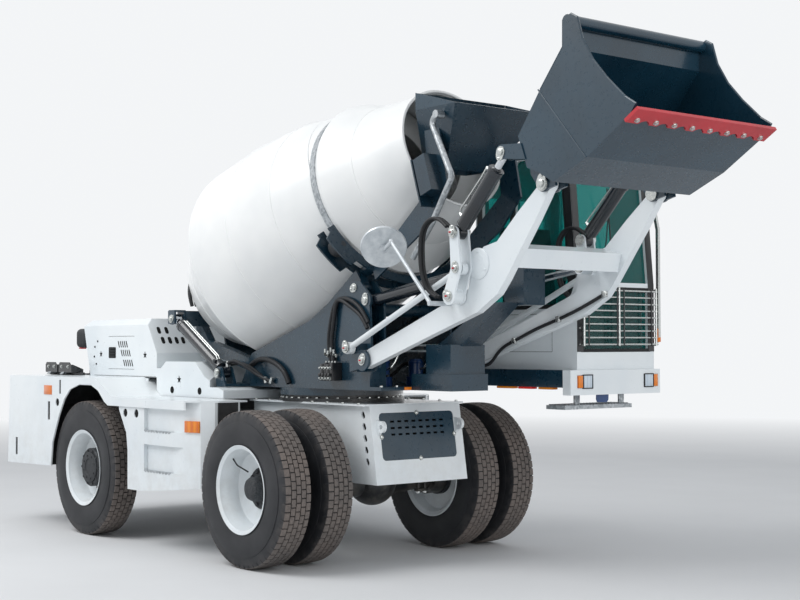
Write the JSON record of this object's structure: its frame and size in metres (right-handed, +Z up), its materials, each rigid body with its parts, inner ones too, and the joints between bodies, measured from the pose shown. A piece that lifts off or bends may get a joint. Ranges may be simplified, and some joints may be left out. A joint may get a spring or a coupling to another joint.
{
  "type": "concrete mixer truck",
  "caption": "Self-loading concrete mixer truck with a slewing turret that carries a cab, a tilting drum and a loader bucket on two arms.",
  "frame": {"origin": "middle of the outline on the ground, in the pictured pose", "axes": "+X forward, towards the bucket; +Y left, towards the cab; +Z up"},
  "size_m": [6.7758, 2.609, 3.326],
  "materials": {
    "white_paint": "gloss",
    "slate_paint": "gloss",
    "black_paint": "satin",
    "red_paint": "gloss",
    "blue_paint": "gloss",
    "galvanised": "satin",
    "chrome_rod": "polished",
    "cast_steel": "matt",
    "tyre_rubber": "matt",
    "rubber_flap": "matt",
    "cab_plastic": "matt",
    "window_glass": "clear",
    "mirror_face": "polished"
  },
  "bodies": {
    "chassis": {"front_frame": "white_paint", "front_panel": "slate_paint", "ring_base": "cast_steel", "front_axle": "black_paint", "rear_axle": "black_paint", "main_rails": "slate_paint", "rear_body": "white_paint", "side_boxes": "white_paint", "mud_guards": "rubber_flap", "engine_hood": "white_paint", "engine": "cast_steel", "rear_lamps": "cab_plastic", "rear_rack": "black_paint"},
    "front_wheels_right": {"front_tyres_right": "tyre_rubber", "front_rims_right": "white_paint"},
    "front_wheels_left": {"front_tyres_left": "tyre_rubber", "front_rims_left": "white_paint"},
    "rear_wheel_right": {"rear_tyre_right": "tyre_rubber", "rear_rim_right": "white_paint"},
    "rear_wheel_left": {"rear_tyre_left": "tyre_rubber", "rear_rim_left": "white_paint"},
    "knuckle_right": {"knuckle_right": "black_paint"},
    "knuckle_left": {"knuckle_left": "black_paint"},
    "turret": {"turret_frame": "slate_paint", "slew_motors": "blue_paint", "oil_tank": "slate_paint", "valve_block": "black_paint", "cab_body": "white_paint", "cab_glass": "window_glass", "cab_interior": "cab_plastic", "cab_guard": "galvanised", "cab_lamps": "white_paint", "cab_step": "galvanised"},
    "door": {"cab_door": "white_paint", "door_glass": "window_glass"},
    "cradle": {"drum_cradle": "slate_paint", "drum_drive": "cast_steel", "feed_hopper": "slate_paint", "water_pipe": "galvanised"},
    "roller_right": {"roller_right": "chrome_rod"},
    "roller_left": {"roller_left": "chrome_rod"},
    "drum": {"drum_shell": "white_paint", "track_ring": "galvanised"},
    "drum_lift_barrels": {"drum_lift_barrels": "black_paint"},
    "drum_lift_rods": {"drum_lift_rods": "chrome_rod"},
    "arms": {"loader_arms": "white_paint", "mirror": "mirror_face"},
    "levers": {"levers": "white_paint"},
    "level_rods": {"level_rods": "white_paint"},
    "lift_barrels": {"lift_barrels": "black_paint"},
    "lift_rods": {"lift_rods": "chrome_rod"},
    "tilt_pins": {"tilt_pins": "chrome_rod"},
    "tilt_barrels": {"tilt_barrels": "black_paint"},
    "tilt_rods": {"tilt_rods": "chrome_rod"},
    "bucket_pins": {"bucket_pins": "chrome_rod"},
    "bucket": {"bucket": "slate_paint", "cutting_edge": "red_paint"}
  },
  "joints": [
    {"name": "front_wheels_right_spin", "type": "hinge", "parent": "chassis", "child": "front_wheels_right", "pos_m": [0.3085, -1.0045, 0.527], "axis": [0, 1, 0], "continuous": true},
    {"name": "front_wheels_left_spin", "type": "hinge", "parent": "chassis", "child": "front_wheels_left", "pos_m": [0.3085, 0.6455, 0.527], "axis": [0, 1, 0], "continuous": true},
    {"name": "steering_left", "type": "hinge", "parent": "chassis", "child": "knuckle_left", "pos_m": [-1.9995, 0.5805, 0.527], "axis": [0, 0, 1], "range_deg": [-28, 28]},
    {"name": "steering_right", "type": "hinge", "parent": "chassis", "child": "knuckle_right", "pos_m": [-1.9995, -0.9395, 0.527], "axis": [0, 0, 1], "range_deg": [-28, 28]},
    {"name": "rear_wheel_left_spin", "type": "hinge", "parent": "knuckle_left", "child": "rear_wheel_left", "pos_m": [-1.9995, 0.8145, 0.527], "axis": [0, 1, 0], "continuous": true},
    {"name": "rear_wheel_right_spin", "type": "hinge", "parent": "knuckle_right", "child": "rear_wheel_right", "pos_m": [-1.9995, -1.1735, 0.527], "axis": [0, 1, 0], "continuous": true},
    {"name": "slew", "type": "hinge", "parent": "chassis", "child": "turret", "pos_m": [-0.0515, -0.1795, 1.134], "axis": [0, 0, 1], "range_deg": [-90, 90]},
    {"name": "cab_door", "type": "hinge", "parent": "turret", "child": "door", "pos_m": [0.7295, 1.2885, 2], "axis": [0, 0, 1], "range_deg": [0, 80]},
    {"name": "drum_tilt", "type": "hinge", "parent": "turret", "child": "cradle", "pos_m": [0.6685, -0.1795, 1.88], "axis": [0, 1, 0], "range_deg": [0, 16]},
    {"name": "drum_spin", "type": "hinge", "parent": "cradle", "child": "drum", "pos_m": [0.4905, -0.1795, 2.576], "axis": [0.9511, 0, 0.309], "continuous": true},
    {"name": "roller_right_spin", "type": "hinge", "parent": "cradle", "child": "roller_right", "pos_m": [0.62841, -0.71137, 2.15156], "axis": [0.9511, 0, 0.309], "continuous": true},
    {"name": "roller_left_spin", "type": "hinge", "parent": "cradle", "child": "roller_left", "pos_m": [0.62841, 0.35237, 2.15156], "axis": [0.9511, 0, 0.309], "continuous": true},
    {"name": "drum_lift_barrels", "type": "hinge", "parent": "turret", "child": "drum_lift_barrels", "pos_m": [-0.7265, -0.1795, 1.29], "axis": [0, 1, 0], "range_deg": [-1, 28]},
    {"name": "drum_lift_rods", "type": "slide", "parent": "drum_lift_barrels", "child": "drum_lift_rods", "axis": [-0.8691, 0, 0.4947], "range_m": [-0.01, 0.39]},
    {"name": "loader_arms", "type": "hinge", "parent": "turret", "child": "arms", "pos_m": [0.8735, -0.1795, 1.388], "axis": [0, -1, 0], "range_deg": [-62, 8]},
    {"name": "lift_barrels", "type": "hinge", "parent": "turret", "child": "lift_barrels", "pos_m": [0.7885, -0.1795, 1.79], "axis": [0, -1, 0], "range_deg": [-56, 8]},
    {"name": "lift_rods", "type": "slide", "parent": "lift_barrels", "child": "lift_rods", "axis": [0.9896, 0, 0.1441], "range_m": [-0.06, 0.4]},
    {"name": "level_rods", "type": "hinge", "parent": "turret", "child": "level_rods", "pos_m": [0.7785, -0.1795, 1.47], "axis": [0, -1, 0], "range_deg": [-56, 8]},
    {"name": "levers", "type": "hinge", "parent": "arms", "child": "levers", "pos_m": [1.8485, -0.1795, 1.785], "axis": [0, -1, 0], "range_deg": [-6, 36]},
    {"name": "tilt_pins", "type": "hinge", "parent": "levers", "child": "tilt_pins", "pos_m": [1.8965, -0.1795, 2.17], "axis": [0, -1, 0], "range_deg": [-59, 9]},
    {"name": "bucket_pins", "type": "hinge", "parent": "arms", "child": "bucket_pins", "pos_m": [2.5885, -0.1795, 2.41], "axis": [0, -1, 0], "range_deg": [-7, 42]},
    {"name": "bucket_tilt", "type": "hinge", "parent": "bucket_pins", "child": "bucket", "pos_m": [2.5885, -0.1795, 2.41], "axis": [0, 1, 0], "range_deg": [-8, 62]},
    {"name": "tilt_barrels", "type": "hinge", "parent": "tilt_pins", "child": "tilt_barrels", "pos_m": [1.8965, -0.1795, 2.17], "axis": [0, 1, 0], "range_deg": [-2, 8]},
    {"name": "tilt_rods", "type": "slide", "parent": "tilt_barrels", "child": "tilt_rods", "axis": [0.6906, 0, 0.7233], "range_m": [-0.05, 0.35]}
  ],
  "couplings": [
    {"joint": "steering_right", "follows": "steering_left", "ratio": 1},
    {"joint": "roller_right_spin", "follows": "drum_spin", "ratio": -10.567},
    {"joint": "roller_left_spin", "follows": "drum_spin", "ratio": -10.567},
    {"joint": "drum_lift_barrels", "follows": "drum_tilt", "ratio": 1.67},
    {"joint": "drum_lift_rods", "follows": "drum_tilt", "m_per_rad": 1.35},
    {"joint": "lift_barrels", "follows": "loader_arms", "ratio": 0.886},
    {"joint": "lift_rods", "follows": "loader_arms", "m_per_rad": -0.362},
    {"joint": "level_rods", "follows": "loader_arms", "ratio": 0.882},
    {"joint": "levers", "follows": "loader_arms", "ratio": -0.55},
    {"joint": "tilt_pins", "follows": "loader_arms", "ratio": 0.92},
    {"joint": "bucket_pins", "follows": "loader_arms", "ratio": -0.65},
    {"joint": "tilt_barrels", "follows": "bucket_tilt", "ratio": 0.101},
    {"joint": "tilt_rods", "follows": "bucket_tilt", "m_per_rad": 0.3176}
  ]
}
